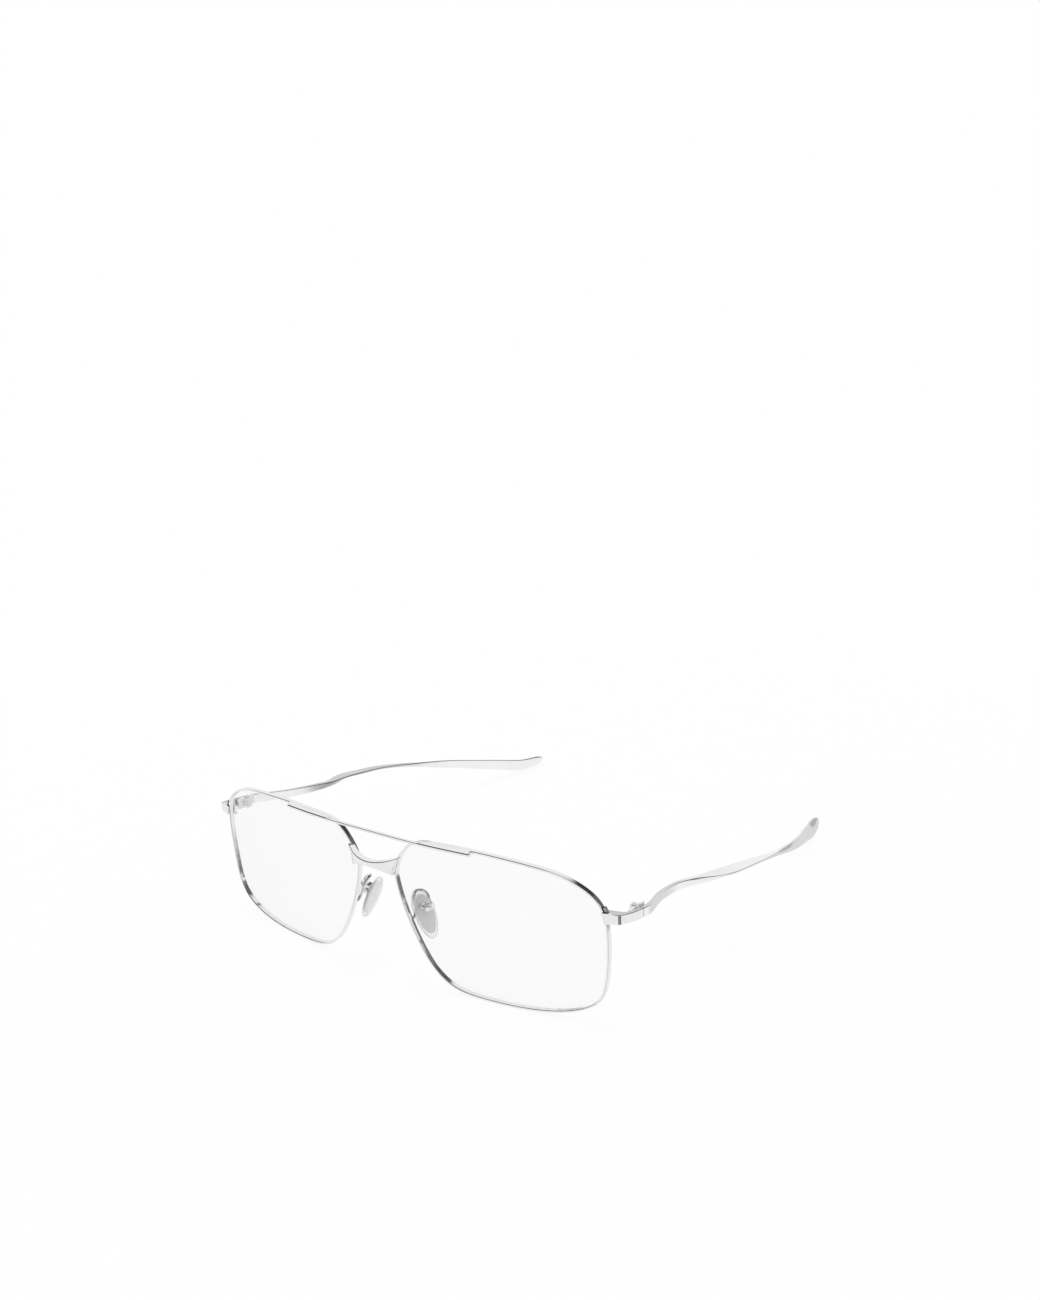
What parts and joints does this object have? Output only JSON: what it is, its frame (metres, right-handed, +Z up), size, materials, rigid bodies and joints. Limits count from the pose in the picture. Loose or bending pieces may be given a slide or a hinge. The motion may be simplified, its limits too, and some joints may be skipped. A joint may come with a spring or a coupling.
{
  "type": "eyeglasses",
  "caption": "Full-rim metal eyeglasses with a straight brow bar over a saddle bridge, adjustable nose pads and folding one-piece temples that wave and end in leaf-shaped tips.",
  "frame": {"origin": "centre of the bottom of the open frame's box, on the table that it stands on", "axes": "+X to the wearer's left, -Y the way the wearer looks, +Z up"},
  "size_m": [0.1426, 0.1499, 0.0424],
  "materials": {
    "polished_metal": "polished silver metal",
    "screw_metal": "satin steel screws",
    "clear_lens": "clear lens",
    "clear_silicone": "translucent silicone"
  },
  "bodies": {
    "front": {"brow_bar": "polished_metal", "bridge": "polished_metal", "left_rim": "polished_metal", "left_end_piece": "polished_metal", "left_lock_upper": "polished_metal", "left_lock_lower": "polished_metal", "left_hinge_front_leaf": "polished_metal", "left_pad_box": "polished_metal", "left_pad_arm": "polished_metal", "left_lock_screw": "screw_metal", "left_hinge_screw": "screw_metal", "left_pad_screw": "screw_metal", "left_lens": "clear_lens", "right_rim": "polished_metal", "right_end_piece": "polished_metal", "right_lock_upper": "polished_metal", "right_lock_lower": "polished_metal", "right_hinge_front_leaf": "polished_metal", "right_pad_box": "polished_metal", "right_pad_arm": "polished_metal", "right_lock_screw": "screw_metal", "right_hinge_screw": "screw_metal", "right_pad_screw": "screw_metal", "right_lens": "clear_lens"},
    "left_temple": {"left_temple": "polished_metal", "left_hinge_temple_leaf": "polished_metal"},
    "right_temple": {"right_temple": "polished_metal", "right_hinge_temple_leaf": "polished_metal"},
    "left_pad": {"left_nose_pad": "clear_silicone"},
    "right_pad": {"right_nose_pad": "clear_silicone"}
  },
  "joints": [
    {"name": "left_temple_fold", "type": "hinge", "parent": "front", "child": "left_temple", "pos_m": [0.06748, -0.05302, 0.02849], "axis": [0, 0, 1], "range_deg": [0, 86]},
    {"name": "left_pad_rock", "type": "hinge", "parent": "front", "child": "left_pad", "pos_m": [0.01015, -0.06453, 0.01955], "axis": [0.1392, 0.9903, 0], "range_deg": [-7, 7]},
    {"name": "right_temple_fold", "type": "hinge", "parent": "front", "child": "right_temple", "pos_m": [-0.06748, -0.05302, 0.02849], "axis": [0, 0, -1], "range_deg": [0, 80]},
    {"name": "right_pad_rock", "type": "hinge", "parent": "front", "child": "right_pad", "pos_m": [-0.01015, -0.06453, 0.01955], "axis": [-0.1392, 0.9903, 0], "range_deg": [-7, 7]}
  ]
}
